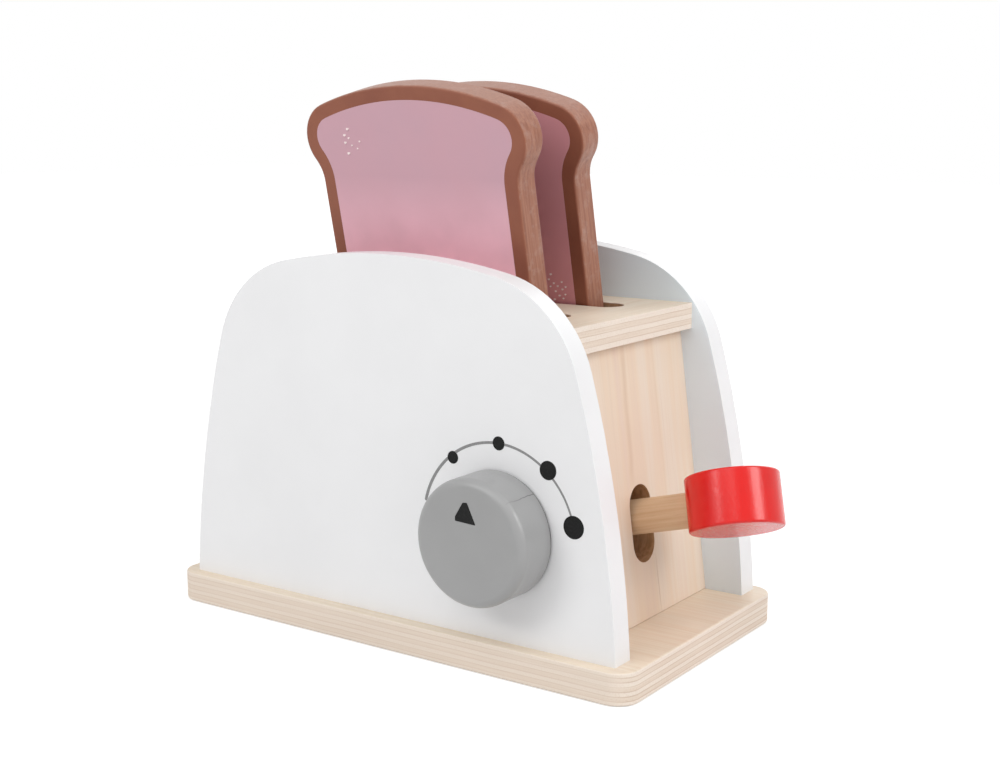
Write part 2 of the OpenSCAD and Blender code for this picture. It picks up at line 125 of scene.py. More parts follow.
def birchPlywood(name, low, thickness, plies, turn=(0, 0, 0)):
    # sanded birch plywood under clear satin lacquer: pale faces with fine streaks, and layers on its edges
    material, tree, shader, inMm = startMaterial(name, {"Roughness": 0.5, "IOR": 1.45})
    streaks = woodGrain(tree, inMm, turn, *birchPly["streak"])
    clouds = woodGrain(tree, inMm, turn, *birchPly["cloud"])
    streaked = addNode(tree, "MapRange", {"Value": streaks, "From Min": 0.42, "From Max": 0.68})
    face = addNode(tree, "Mix",
                   {"data_type": "RGBA", "Factor": streaked, "A": birchPly["face"], "B": birchPly["faceDark"]})
    clouded = addNode(tree, "MapRange", {"Value": clouds, "From Min": 0.35, "From Max": 0.65, "To Max": 0.6})
    face = addNode(tree, "Mix", {"data_type": "RGBA", "Factor": clouded, "A": face, "B": birchPly["faceWarm"]})

    # the edge's plies with thin glue lines between them, a little wavy
    parts = addNode(tree, "SeparateXYZ", {0: inMm})
    wave = addNode(tree, "TexNoise", {"Vector": inMm, "Scale": 0.05, "Detail": 2.0})
    wander = birchPly["wander"]
    waved = addNode(tree, "Math", {"operation": "MULTIPLY_ADD", 0: wave, 1: wander, 2: -low - wander / 2})
    level = addNode(tree, "Math", {"operation": "ADD", 0: (parts, "Z"), 1: waved})
    share = addNode(tree, "Math", {"operation": "DIVIDE", 0: level, 1: thickness})
    stops = [(0.0, birchPly["plyLight"])]
    for i in range(1, plies):
        below, above = ("plyLight", "plyDark") if i % 2 else ("plyDark", "plyLight")
        at, half = i / plies, birchPly["glueLine"]
        stops += [(at - half, birchPly[below]), (at, birchPly["glue"]), (at + half, birchPly[above])]
    layers = addNode(tree, "ValToRGB", {"stops": stops, 0: share})

    # dark pores, pale streaks along the plies, and long edges that sanding has blurred
    grit = {"Vector": inMm, "Scale": 1 / birchPly["poreSize"], "Detail": 3.0, "Roughness": 0.7}
    pores = addNode(tree, "TexNoise", grit)
    porous = addNode(tree, "MapRange", {"Value": pores, "From Min": 0.5, "From Max": 0.75, "To Max": 0.5})
    edge = addNode(tree, "Mix", {"data_type": "RGBA", "Factor": porous, "A": layers, "B": birchPly["edgeMark"]})
    drawnOut = addNode(tree, "Mapping", {"Vector": inMm, "Scale": (0.05, 0.05, 2.2)})
    edgeStreaks = addNode(tree, "TexNoise", {"Vector": drawnOut, "Scale": 1.0, "Detail": 3.0})
    pale = addNode(tree, "MapRange", {"Value": edgeStreaks, "From Min": 0.42, "From Max": 0.7, "To Max": 0.45})
    edge = addNode(tree, "Mix", {"data_type": "RGBA", "Factor": pale, "A": edge, "B": birchPly["edgePale"]})
    normal = addNode(tree, "SeparateXYZ", {0: (addNode(tree, "TexCoord"), "Normal")})
    sideways = addNode(tree, "Math", {"operation": "ABSOLUTE", 0: (normal, "Y")})
    blurred = addNode(tree, "MapRange", {"Value": sideways, "From Min": 0.6, "From Max": 0.95, "To Max": 0.5})
    edge = addNode(tree, "Mix", {"data_type": "RGBA", "Factor": blurred, "A": edge, "B": birchPly["edgeBlur"]})

    upright = addNode(tree, "Math", {"operation": "ABSOLUTE", 0: (normal, "Z")})
    onFace = addNode(tree, "MapRange", {"Value": upright, "From Min": 0.55, "From Max": 0.85})
    joinTo(tree, shader, "Base Color",
           addNode(tree, "Mix", {"data_type": "RGBA", "Factor": onFace, "A": edge, "B": face}))
    joinTo(tree, shader, "Roughness", addNode(tree, "MapRange", {"Value": onFace, "To Min": 0.62, "To Max": 0.46}))
    joinTo(tree, shader, "Normal", addNode(tree, "Bump", {"Height": streaks, "Distance": 0.05 * mm, "Strength": 0.35}))
    return material


solidBirch = {
    "light": "#EBDAC8", "warm": "#EAD4BD", "pink": "#E7D0BE", "line": "#D6BA9E",
    "bandTints": ((0.30, "pink"), (0.44, "light"), (0.56, "warm"), (0.70, "pink")),
    "band": (260, 13), "streak": (55, 0.9), "ring": (240, 5.0),  # along and across the grain, in mm
}


def boardWood(name, turn, drawLines=None):
    # solid birch board, planed and lacquered: broad soft bands and a few thin darker lines along the grain
    material, tree, shader, inMm = startMaterial(name, {"Roughness": 0.48, "IOR": 1.45})
    bands = woodGrain(tree, inMm, turn, *solidBirch["band"])
    stops = [(at, solidBirch[tint]) for at, tint in solidBirch["bandTints"]]
    colour = addNode(tree, "ValToRGB", {"stops": stops, 0: bands})
    streaks = woodGrain(tree, inMm, turn, *solidBirch["streak"])
    streaked = addNode(tree, "MapRange", {"Value": streaks, "From Min": 0.5, "From Max": 0.78, "To Max": 0.2})
    colour = addNode(tree, "Mix", {"data_type": "RGBA", "Factor": streaked, "A": colour, "B": solidBirch["line"]})
    rings = woodGrain(tree, inMm, turn, *solidBirch["ring"])
    ringed = addNode(tree, "MapRange", {"Value": rings, "From Min": 0.60, "From Max": 0.72, "To Max": 0.22})
    colour = addNode(tree, "Mix", {"data_type": "RGBA", "Factor": ringed, "A": colour, "B": solidBirch["line"]})
    if drawLines:
        colour = drawLines(tree, inMm, colour)
    joinTo(tree, shader, "Base Color", colour)
    joinTo(tree, shader, "Normal", addNode(tree, "Bump", {"Height": streaks, "Distance": 0.05 * mm, "Strength": 0.3}))
    return material


rawBeech = {
    "light": "#E2C19E", "dark": "#D6B08A", "pore": "#A27C55",
    "streak": (38, 1.3), "poreSize": (3.2, 0.35),  # along and across the grain, in mm
}


def turnedDowel(name, turn, light=rawBeech["light"], dark=rawBeech["dark"]):
    # raw beech dowel, or wood cut across by a router: straight brown streaks with short dark pores
    material, tree, shader, inMm = startMaterial(name, {"Roughness": 0.55, "IOR": 1.45})
    streaks = woodGrain(tree, inMm, turn, *rawBeech["streak"])
    streaked = addNode(tree, "MapRange", {"Value": streaks, "From Min": 0.36, "From Max": 0.66})
    colour = addNode(tree, "Mix", {"data_type": "RGBA", "Factor": streaked, "A": light, "B": dark})
    pores = woodGrain(tree, inMm, turn, *rawBeech["poreSize"])
    porous = addNode(tree, "MapRange", {"Value": pores, "From Min": 0.62, "From Max": 0.75, "To Max": 0.25})
    colour = addNode(tree, "Mix", {"data_type": "RGBA", "Factor": porous, "A": colour, "B": rawBeech["pore"]})
    joinTo(tree, shader, "Base Color", colour)
    joinTo(tree, shader, "Normal", addNode(tree, "Bump", {"Height": streaks, "Distance": 0.06 * mm, "Strength": 0.4}))
    return material


def satinPaint(name, colour, shade, roughness, gloss=0.5, orangePeel=0.02, drawMark=None):
    # sprayed satin paint on board: even, with faint clouds and a very fine orange peel
    finish = {"Roughness": roughness, "IOR": 1.5, "Specular IOR Level": gloss}
    material, tree, shader, inMm = startMaterial(name, finish)
    clouds = addNode(tree, "TexNoise", {"Vector": inMm, "Scale": 0.035, "Detail": 3.0})
    clouded = addNode(tree, "MapRange", {"Value": clouds, "From Min": 0.35, "From Max": 0.7})
    paint = addNode(tree, "Mix", {"data_type": "RGBA", "Factor": clouded, "A": colour, "B": shade})
    if drawMark:
        paint = drawMark(tree, inMm, paint)
    joinTo(tree, shader, "Base Color", paint)
    # the peel is about 0.9 mm, coarser than life so that it shows
    peel = addNode(tree, "TexNoise", {"Vector": inMm, "Scale": 1.1, "Detail": 2.0})
    uneven = {"Value": peel, "From Min": 0.3, "From Max": 0.7, "To Min": roughness - 0.05, "To Max": roughness + 0.05}
    joinTo(tree, shader, "Roughness", addNode(tree, "MapRange", uneven))
    joinTo(tree, shader, "Normal",
           addNode(tree, "Bump", {"Height": peel, "Distance": orangePeel * mm, "Strength": 0.5}))
    return material


def printedInk(name, colour, worn):
    # pad-printed ink: flat and matt, with a slight mottle where the film is thin
    finish = {"Roughness": 0.6, "IOR": 1.48, "Specular IOR Level": 0.15}
    material, tree, shader, inMm = startMaterial(name, finish)
    mottle = addNode(tree, "TexNoise", {"Vector": inMm, "Scale": 1.6, "Detail": 3.0})
    thin = addNode(tree, "MapRange", {"Value": mottle, "From Min": 0.45, "From Max": 0.75})
    joinTo(tree, shader, "Base Color",
           addNode(tree, "Mix", {"data_type": "RGBA", "Factor": thin, "A": colour, "B": worn}))
    joinTo(tree, shader, "Roughness", addNode(tree, "MapRange", {"Value": mottle, "To Min": 0.52, "To Max": 0.68}))
    return material


def pickOnly(piece):
    bpy.ops.object.select_all(action="DESELECT")
    piece.select_set(True)
    bpy.context.view_layer.objects.active = piece


def copyOfNode(nodeName, pieceName):
    # the node's own shape with its triangles joined up, ready to be shaped further
    piece = bpy.data.objects.new(pieceName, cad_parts[nodeName].data.copy())
    bpy.context.collection.objects.link(piece)
    piece.data.materials.clear()
    pickOnly(piece)
    bpy.ops.object.mode_set(mode="EDIT")
    bpy.ops.mesh.select_all(action="SELECT")
    bpy.ops.mesh.remove_doubles(threshold=0.004 * mm)
    bpy.ops.mesh.customdata_custom_splitnormals_clear()
    bpy.ops.mesh.dissolve_limited(angle_limit=math.radians(0.4))
    bpy.ops.object.mode_set(mode="OBJECT")
    return piece


def softenCorners(piece, wanted, width, segments=3, sharper=35):
    # rounds the edges that are sharper than an angle and whose middle, in mm, is wanted
    pickOnly(piece)
    bpy.ops.object.mode_set(mode="EDIT")
    bpy.ops.mesh.select_mode(type="EDGE")
    bpy.ops.mesh.select_all(action="DESELECT")
    cage = bmesh.from_edit_mesh(piece.data)
    for edge in cage.edges:
        if len(edge.link_faces) == 2 and edge.calc_face_angle(0) > math.radians(sharper):
            if wanted((edge.verts[0].co + edge.verts[1].co) / 2 / mm):
                edge.select_set(True)
    bmesh.update_edit_mesh(piece.data)
    bpy.ops.mesh.bevel(offset=width * mm, offset_type="OFFSET", segments=segments, profile=0.5,
                       affect="EDGES", clamp_overlap=True)
    bpy.ops.object.mode_set(mode="OBJECT")


def pickFaces(piece, wanted):
    # in edit mode: the faces that pass, by their middle in mm and their normal
    bpy.ops.mesh.select_mode(type="FACE")
    bpy.ops.mesh.select_all(action="DESELECT")
    cage = bmesh.from_edit_mesh(piece.data)
    for face in cage.faces:
        face.select_set(bool(wanted(face.calc_center_median() / mm, face.normal)))
    bmesh.update_edit_mesh(piece.data)


def paintFaces(piece, slotNumber, wanted):
    # gives the faces that pass a material slot of their own
    pickOnly(piece)
    bpy.ops.object.mode_set(mode="EDIT")
    pickFaces(piece, wanted)
    piece.active_material_index = slotNumber
    bpy.ops.object.material_slot_assign()
    bpy.ops.object.mode_set(mode="OBJECT")


def finishPiece(piece, body, materials=(), nodes=()):
    # materials, clean shading round the rounded edges, and the piece's place in the frame
    pickOnly(piece)
    for material in materials:
        piece.data.materials.append(material)
    bpy.ops.object.shade_smooth_by_angle(angle=math.radians(40))
    weighted = piece.modifiers.new("evenNormals", "WEIGHTED_NORMAL")
    weighted.keep_sharp = True
    bpy.ops.object.modifier_apply(modifier="evenNormals")
    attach(piece, body)
    if nodes:
        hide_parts(*nodes)
    return piece


def finishNode(nodeName, material):
    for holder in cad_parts[nodeName].material_slots:
        holder.material = material


grainUp = (0, math.radians(90), 0)  # turns for woodGrain: a grain that runs up, and one from front to back
grainBack = (0, 0, math.radians(-90))

baseStyle = {"half": (90, 49), "thick": 10.1, "corner": 7.3, "edge": 0.7, "plies": 7}


def onBaseRim(p):
    # the edges round the outline, above and below, with its rounded corners
    halfX, halfY = baseStyle["half"]
    pastX, pastY = abs(p.x) - halfX + baseStyle["corner"], abs(p.y) - halfY + baseStyle["corner"]
    roundCorner = pastX > 0 and pastY > 0 and math.hypot(pastX, pastY) > baseStyle["corner"] - slack
    outside = abs(p.x) > halfX - slack or abs(p.y) > halfY - slack or roundCorner
    return outside and (p.z < slack or p.z > baseStyle["thick"] - slack)


base = copyOfNode("base_board", "baseBoard")
softenCorners(base, onBaseRim, baseStyle["edge"])
basePly = birchPlywood("basePlywood", 0, baseStyle["thick"], baseStyle["plies"])
finishPiece(base, "housing", [basePly], ["base_board"])


panelStyle = {
    "face": 44.9, "thick": 8.4, "edge": 1.3, "edgeSteps": 4, "foot": 10.1,
    "drilled": (76, 85),  # the holes lie nearer the middle than this, and lower
    # inside: the inward faces' paint, tinted cool and lighter as painted light against warm bounce and shade
    "paint": ("#F1F1F2", "#EEEEEF", 0.42), "inside": ("#E5F2FA", "#E3EFF7", 0.5),
}


def onPanelRim(p):
    # the outline's two long edges, but not the foot on the board nor the drilled holes
    onAFace = abs(p.y) > panelStyle["face"] - slack or abs(p.y) < panelStyle["face"] - panelStyle["thick"] + slack
    awayFromHoles = abs(p.x) > panelStyle["drilled"][0] or p.z > panelStyle["drilled"][1]
    return p.z > panelStyle["foot"] + slack and onAFace and awayFromHoles


whitePaint = satinPaint("whiteSatinPaint", *panelStyle["paint"])
insidePaintedFill = satinPaint("whiteInsidePaintedFill", *panelStyle["inside"])  # the panels' inward faces: paint tinted cooler and lighter, as painted light against the warm bounce and shade there
for nodeName, pieceName, side in (("front_panel", "frontPanel", -1), ("rear_panel", "rearPanel", 1)):
    panel = copyOfNode(nodeName, pieceName)
    softenCorners(panel, onPanelRim, panelStyle["edge"], panelStyle["edgeSteps"])
    finishPiece(panel, "housing", [whitePaint, insidePaintedFill], [nodeName])
    paintFaces(panel, 1, lambda middle, normal: normal.y * side < -0.7)


wallStyle = {
    "slant": 7.6, "edge": 0.4, "foot": 10.1, "outside": 60,
    # the slot's cut wood: darker partly as routed wood and partly as painted shade inside the slot
    "slotHalf": 7.2, "slotHeights": (24, 60), "slotWoodShaded": ("#D2AB86", "#B38B64"),
    # grain lines that show: y at foot and head, z at foot and head, half width, strength, colour
    "flare": (-3.5, -1.6, 52, 98, 1.2, 0.26, "#C69F7C"),
    "hairline": (6.7, 6.2, 10, 28, 0.18, 0.45, "#A98567"),
    "wander": 1.5,
}


def drawGrainLine(tree, inMm, colour, line):
    # one darker line that wanders up the wall and fades out at both ends
    yFoot, yHead, zFoot, zHead, half, strength, ink = line
    wander = wallStyle["wander"]
    parts = addNode(tree, "SeparateXYZ", {0: inMm})
    noise = addNode(tree, "TexNoise", {"Vector": inMm, "Scale": 0.09, "Detail": 2.0})
    course = addNode(tree, "MapRange", {"clamp": False, "Value": (parts, "Z"), "From Min": zFoot, "From Max": zHead,
                                        "To Min": yFoot - wander / 2, "To Max": yHead - wander / 2})
    course = addNode(tree, "Math", {"operation": "MULTIPLY_ADD", 0: noise, 1: wander, 2: course})
    off = addNode(tree, "Math", {"operation": "SUBTRACT", 0: (parts, "Y"), 1: course})
    off = addNode(tree, "Math", {"operation": "ABSOLUTE", 0: off})
    near = addNode(tree, "MapRange", {"Value": off, "From Min": half * 0.3, "From Max": half * 1.6,
                                      "To Min": strength, "To Max": 0.0})
    rise = addNode(tree, "MapRange", {"Value": (parts, "Z"), "From Min": zFoot - 2, "From Max": zFoot + 6})
    fall = addNode(tree, "MapRange", {"Value": (parts, "Z"), "From Min": zHead - 6, "From Max": zHead + 2,
                                      "To Min": 1.0, "To Max": 0.0})
    ends = addNode(tree, "Math", {"operation": "MULTIPLY", 0: rise, 1: fall})
    mask = addNode(tree, "Math", {"operation": "MULTIPLY", 0: near, 1: ends})
    return addNode(tree, "Mix", {"data_type": "RGBA", "Factor": mask, "A": colour, "B": ink})


def drawLeverWallLines(tree, inMm, colour):
    colour = drawGrainLine(tree, inMm, colour, wallStyle["flare"])
    return drawGrainLine(tree, inMm, colour, wallStyle["hairline"])


slant = math.radians(wallStyle["slant"])
outOfWall = Vector((math.cos(slant), 0, math.sin(slant)))


def onWallFoot(p):
    # the lower edges of a wall's outer face
    return p.z < wallStyle["foot"] + slack and abs(p.x) > wallStyle["outside"]


def inLeverSlot(middle, normal):
    # the routed sides of the lever's slot, for the wall that has one
    low, high = wallStyle["slotHeights"]
    inSlot = middle.x > 0 and abs(middle.y) < wallStyle["slotHalf"] and low < middle.z < high
    return inSlot and abs(normal.dot(outOfWall)) < 0.3


leverWallWood = boardWood("leverWallBirch", (0, math.radians(90) + slant, 0), drawLeverWallLines)
plainWallWood = boardWood("plainWallBirch", (0, math.radians(90) - slant, 0))
# the routed sides of the lever's slot: a darker wood, partly cut wood and partly painted shade inside the slot
slotWoodShaded = turnedDowel("routedHoleBirchShaded", grainUp, *wallStyle["slotWoodShaded"])
for nodeName, pieceName, wood in (("lever_end_wall", "leverEndWall", leverWallWood),
                                  ("plain_end_wall", "plainEndWall", plainWallWood)):
    wall = copyOfNode(nodeName, pieceName)
    softenCorners(wall, onWallFoot, wallStyle["edge"], 2)
    finishPiece(wall, "housing", [wood, slotWoodShaded], [nodeName])
    paintFaces(wall, 1, inLeverSlot)


topStyle = {
    "half": (63.078, 36.5), "top": 105.6, "thick": 8.4, "edge": 0.9, "plies": 5,
    # how far the bread slots' rims and sides may lie from the board's middle, the rims' rounding and the cut wood,
    # whose darker tone is partly painted shade inside the slots
    "rimReach": (50, 30), "sideReach": (52, 26), "slotEdge": 0.35, "slotWoodShaded": ("#CDAC8A", "#B8946F"),
}


def onTopOutline(p):
    # the edges round the board's outline, above, below and at its corners
    halfX, halfY = topStyle["half"]
    return abs(p.x) > halfX - slack or abs(p.y) > halfY - slack


def onSlotRim(p):
    # the upper edges of the two bread slots
    reachX, reachY = topStyle["rimReach"]
    return p.z > topStyle["top"] - slack and abs(p.x) < reachX and abs(p.y) < reachY


def inBreadSlot(middle, normal):
    # the upright sides of the two bread slots, below their rounded rims
    reachX, reachY = topStyle["sideReach"]
    upright = abs(normal.z) < 0.5 and middle.z < topStyle["top"] - 0.4
    return upright and abs(middle.x) < reachX and abs(middle.y) < reachY


top = copyOfNode("top_board", "topBoard")
softenCorners(top, onTopOutline, topStyle["edge"])
softenCorners(top, onSlotRim, topStyle["slotEdge"], 2)
topLow = topStyle["top"] - topStyle["thick"]
topPly = birchPlywood("topPlywood", topLow, topStyle["thick"], topStyle["plies"], grainBack)
# the slots' sides: a darker wood, partly routed cut wood and partly painted shade inside the slots
slotSidesShaded = turnedDowel("routedSlotBirchShaded", grainUp, *topStyle["slotWoodShaded"])
finishPiece(top, "housing", [topPly, slotSidesShaded], ["top_board"])
paintFaces(top, 1, inBreadSlot)
print("boards made")


dialStyle = {
    "centre": (42.6, 0, 43.5), "radius": 19.4, "sides": 144,
    "back": -45.1, "front": -60.1, "frontEdge": 2.7, "backEdge": 0.55,
    # the second paint is dark, for the back bevel: painted shade in the crease against the panel
    "paint": ("#A0A0A0", "#9B9B9B", 0.36, 0.5, 0.03), "creaseShade": ("#5A5A5A", "#505050", 0.6, 0.2),
    # a hairline crack in the side: half its width without and with its soft sides, and how far it wanders
    "crack": "#5E5E5E", "crackAngle": 46.6, "crackHalf": (0.06, 0.2), "crackWander": 0.5,
    "crackReach": (-59, -49), "crackStrength": (0.12, 0.85),  # from the front to the back
}
centreX, centreZ = dialStyle["centre"][0], dialStyle["centre"][2]


def drawCrack(tree, inMm, paint):
    # a crack in the wood under the paint, which runs back along the dial's side
    angle = math.radians(dialStyle["crackAngle"])
    wander = dialStyle["crackWander"]
    fromAxis = addNode(tree, "VectorMath", {"operation": "SUBTRACT", 0: inMm, 1: dialStyle["centre"]})
    noise = addNode(tree, "TexNoise", {"Vector": inMm, "Scale": 0.35, "Detail": 2.0})
    wobble = addNode(tree, "MapRange", {"Value": noise, "To Min": -wander, "To Max": wander})
    across, along = (math.sin(angle), 0, -math.cos(angle)), (math.cos(angle), 0, math.sin(angle))
    aside = addNode(tree, "VectorMath", {"operation": "DOT_PRODUCT", 0: fromAxis, 1: across})
    aside = addNode(tree, "Math", {"operation": "ADD", 0: aside, 1: wobble})
    aside = addNode(tree, "Math", {"operation": "ABSOLUTE", 0: aside})
    inner, outer = dialStyle["crackHalf"]
    line = addNode(tree, "MapRange",
                   {"Value": aside, "From Min": inner, "From Max": outer, "To Min": 1.0, "To Max": 0.0})
    outward = addNode(tree, "VectorMath", {"operation": "DOT_PRODUCT", 0: fromAxis, 1: along})
    rim = dialStyle["radius"]
    onSide = addNode(tree, "MapRange", {"Value": outward, "From Min": rim - 0.8, "From Max": rim - 0.4})
    (front, back), (faint, strong) = dialStyle["crackReach"], dialStyle["crackStrength"]
    deep = addNode(tree, "SeparateXYZ", {0: inMm})
    deep = addNode(tree, "MapRange", {"Value": (deep, "Y"), "From Min": front, "From Max": back,
                                      "To Min": faint, "To Max": strong})
    mask = addNode(tree, "Math", {"operation": "MULTIPLY", 0: line, 1: onSide})
    mask = addNode(tree, "Math", {"operation": "MULTIPLY", 0: mask, 1: deep})
    return addNode(tree, "Mix", {"data_type": "RGBA", "Factor": mask, "A": paint, "B": dialStyle["crack"]})


deepDial = dialStyle["back"] - dialStyle["front"]
bpy.ops.object.select_all(action="DESELECT")
bpy.ops.mesh.primitive_cylinder_add(vertices=dialStyle["sides"], radius=dialStyle["radius"] * mm, depth=deepDial * mm,
                                    location=(centreX * mm, (dialStyle["back"] - deepDial / 2) * mm, centreZ * mm),
                                    rotation=(math.radians(90), 0, 0))
dial = bpy.context.active_object
dial.name = "dialKnob"
bpy.ops.object.transform_apply(location=True, rotation=True, scale=True)
softenCorners(dial, lambda p: p.y < dialStyle["front"] + 0.01, dialStyle["frontEdge"], 8)
softenCorners(dial, lambda p: p.y > dialStyle["back"] - 0.01, dialStyle["backEdge"], 2)
greyPaint = satinPaint("greySatinPaint", *dialStyle["paint"], drawCrack)
creaseShade = satinPaint("greyPaintedCreaseShade", *dialStyle["creaseShade"])  # the back edge's bevel, painted dark: painted shade in the crease against the panel
finishPiece(dial, "dial", [greyPaint, creaseShade], ["dial_knob"])
creaseShadeFrom = dialStyle["back"] - dialStyle["backEdge"]
paintFaces(dial, 1, lambda middle, normal: middle.y > creaseShadeFrom and abs(normal.y) < 0.95)


scaleStyle = {
    "face": -44.9, "ink": ("#1B1B1B", "#262626"), "line": ("#8E8E8E", "#9C9C9C"), "film": 0.06,
    "radius": 27.4, "from": 166, "to": 12.7, "steps": 72, "wideStart": 1.0, "wideEnd": 0.6,
    # each dot: angle, distance from the dial's axis, and width; startDot is the arc's own round start
    "dots": ((127.8, 26.6, 3.9), (89, 27.4, 4.2), (50.4, 28.0, 5.7), (12.6, 27.4, 6.9)),
    "startDot": (166, 27.4, 0.95), "dotFilm": 0.08, "dotSides": 48,
}
pointerStyle = {
    "film": 0.06, "rounding": 0.25,
    # x and z of each corner, from the tip round its left side
    "corners": ((42.5, 56.05), (41.0, 55.9), (38.25, 51.4), (38.25, 50.1), (45.55, 49.75)),
}
blackInk = printedInk("blackPrint", *scaleStyle["ink"])
greyInk = printedInk("greyPrint", *scaleStyle["line"])


def raiseFilm(thick):
    # in edit mode: gives a flat print its thickness, towards the front
    bpy.ops.mesh.select_all(action="SELECT")
    bpy.ops.mesh.extrude_region_move(TRANSFORM_OT_translate={"value": (0, -thick * mm, 0)})
    bpy.ops.mesh.select_all(action="SELECT")
    bpy.ops.mesh.normals_make_consistent(inside=False)


# the pointer: a flat ring of corners, each drawn to its place
bpy.ops.object.select_all(action="DESELECT")
bpy.ops.mesh.primitive_circle_add(vertices=len(pointerStyle["corners"]), radius=3 * mm, fill_type="NGON",
                                  location=(centreX * mm, dialStyle["front"] * mm, centreZ * mm),
                                  rotation=(math.radians(90), 0, 0))
pointer = bpy.context.active_object
pointer.name = "dialPointer"
bpy.ops.object.transform_apply(location=True, rotation=True, scale=True)
bpy.ops.object.mode_set(mode="EDIT")
bpy.ops.mesh.select_mode(type="VERT")
for number, (x, z) in enumerate(pointerStyle["corners"]):
    bpy.ops.mesh.select_all(action="DESELECT")
    cage = bmesh.from_edit_mesh(pointer.data)
    cage.verts.ensure_lookup_table()
    corner = cage.verts[number]
    corner.select_set(True)
    cage.select_flush_mode()
    bmesh.update_edit_mesh(pointer.data)
    bpy.ops.transform.translate(value=Vector((x, dialStyle["front"], z)) * mm - corner.co)
raiseFilm(pointerStyle["film"])
bpy.ops.object.mode_set(mode="OBJECT")
filmFront = dialStyle["front"] - pointerStyle["film"]
softenCorners(pointer, lambda p: filmFront + 0.01 < p.y < dialStyle["front"] - 0.01, pointerStyle["rounding"], 3, 10)
finishPiece(pointer, "dial", [blackInk])

for number, (angle, reach, across) in enumerate(scaleStyle["dots"] + (scaleStyle["startDot"],)):
    turn = math.radians(angle)
    at = Vector((centreX + reach * math.cos(turn), scaleStyle["face"], centreZ + reach * math.sin(turn))) * mm
    bpy.ops.object.select_all(action="DESELECT")
    bpy.ops.mesh.primitive_circle_add(vertices=scaleStyle["dotSides"], radius=across / 2 * mm, fill_type="NGON",
                                      location=at, rotation=(math.radians(90), 0, 0))
    dot = bpy.context.active_object
    dot.name = "scaleDot" + str(number + 1)
    bpy.ops.object.transform_apply(location=True, rotation=True, scale=True)
    bpy.ops.object.mode_set(mode="EDIT")
    raiseFilm(scaleStyle["dotFilm"])
    bpy.ops.object.mode_set(mode="OBJECT")
    finishPiece(dot, "housing", [blackInk if number < len(scaleStyle["dots"]) else greyInk])

# the arc through the dots: a small plane set across the line is spun about the dial's axis,
# and the line is then thinned towards the last dot
first = math.radians(scaleStyle["from"])
middle = Vector((centreX, scaleStyle["face"] - scaleStyle["film"] / 2, centreZ))
middle += scaleStyle["radius"] * Vector((math.cos(first), 0, math.sin(first)))
bpy.ops.object.select_all(action="DESELECT")
bpy.ops.mesh.primitive_plane_add(size=1, location=middle * mm, rotation=(0, -first, 0))
arc = bpy.context.active_object
arc.name = "scaleArc"
arc.scale = (scaleStyle["wideStart"] * mm, scaleStyle["film"] * mm, 1)
bpy.ops.object.transform_apply(location=True, rotation=True, scale=True)
bpy.ops.object.mode_set(mode="EDIT")
bpy.ops.mesh.select_all(action="SELECT")
bpy.ops.mesh.spin(steps=scaleStyle["steps"], angle=-math.radians(scaleStyle["from"] - scaleStyle["to"]),
                  center=(centreX * mm, scaleStyle["face"] * mm, centreZ * mm), axis=(0, 1, 0))
bpy.ops.mesh.select_all(action="SELECT")
bpy.ops.mesh.remove_doubles(threshold=0.001 * mm)
bpy.ops.mesh.normals_make_consistent(inside=False)
bpy.ops.object.mode_set(mode="OBJECT")
for corner in arc.data.vertices:
    away = Vector((corner.co.x - centreX * mm, corner.co.z - centreZ * mm))
    turned = math.degrees(math.atan2(away.y, away.x))
    done = (scaleStyle["from"] - turned) / (scaleStyle["from"] - scaleStyle["to"])
    thinner = 1 + (scaleStyle["wideEnd"] / scaleStyle["wideStart"] - 1) * done
    length = scaleStyle["radius"] * mm + (away.length - scaleStyle["radius"] * mm) * thinner
    corner.co.x = centreX * mm + away.x / away.length * length
    corner.co.z = centreZ * mm + away.y / away.length * length
finishPiece(arc, "housing", [greyInk])
print("dial and scale made")


leverStyle = {
    "pivot": (45.984, 0, 37.061), "slope": 14.8,
    # the knob: its middle along the rod and off it, its size, and how it is turned on the rod
    "reach": 53.9, "rise": 0.7, "across": 28.8, "height": 16.9, "roll": 17.8, "tip": 3,
    "rim": 0.8, "sides": 144, "red": ("#E1140F", "#DA130E"),
}


def glossRed(name):
    # turned hardwood knob under thick gloss enamel: clear highlights, uneven where the grain shows through
    enamel = {"Roughness": 0.22, "IOR": 1.5, "Specular IOR Level": 0.44}
    material, tree, shader, inMm = startMaterial(name, enamel)
    clouds = addNode(tree, "TexNoise", {"Vector": inMm, "Scale": 0.09, "Detail": 2.0})
    clouded = addNode(tree, "MapRange", {"Value": clouds, "From Min": 0.35, "From Max": 0.65})
    red, redShade = leverStyle["red"]
    joinTo(tree, shader, "Base Color",
           addNode(tree, "Mix", {"data_type": "RGBA", "Factor": clouded, "A": red, "B": redShade}))
    grain = woodGrain(tree, inMm, grainUp, along=14, across=0.7)
    shine = addNode(tree, "MapRange",
                    {"Value": grain, "From Min": 0.3, "From Max": 0.7, "To Min": 0.16, "To Max": 0.27})
    joinTo(tree, shader, "Roughness", shine)
    peel = addNode(tree, "TexNoise", {"Vector": inMm, "Scale": 1.3, "Detail": 2.0})  # about 0.8 mm
    uneven = addNode(tree, "Math", {"operation": "ADD", 0: grain, 1: peel})
    joinTo(tree, shader, "Normal", addNode(tree, "Bump", {"Height": uneven, "Distance": 0.05 * mm, "Strength": 0.6}))
    return material


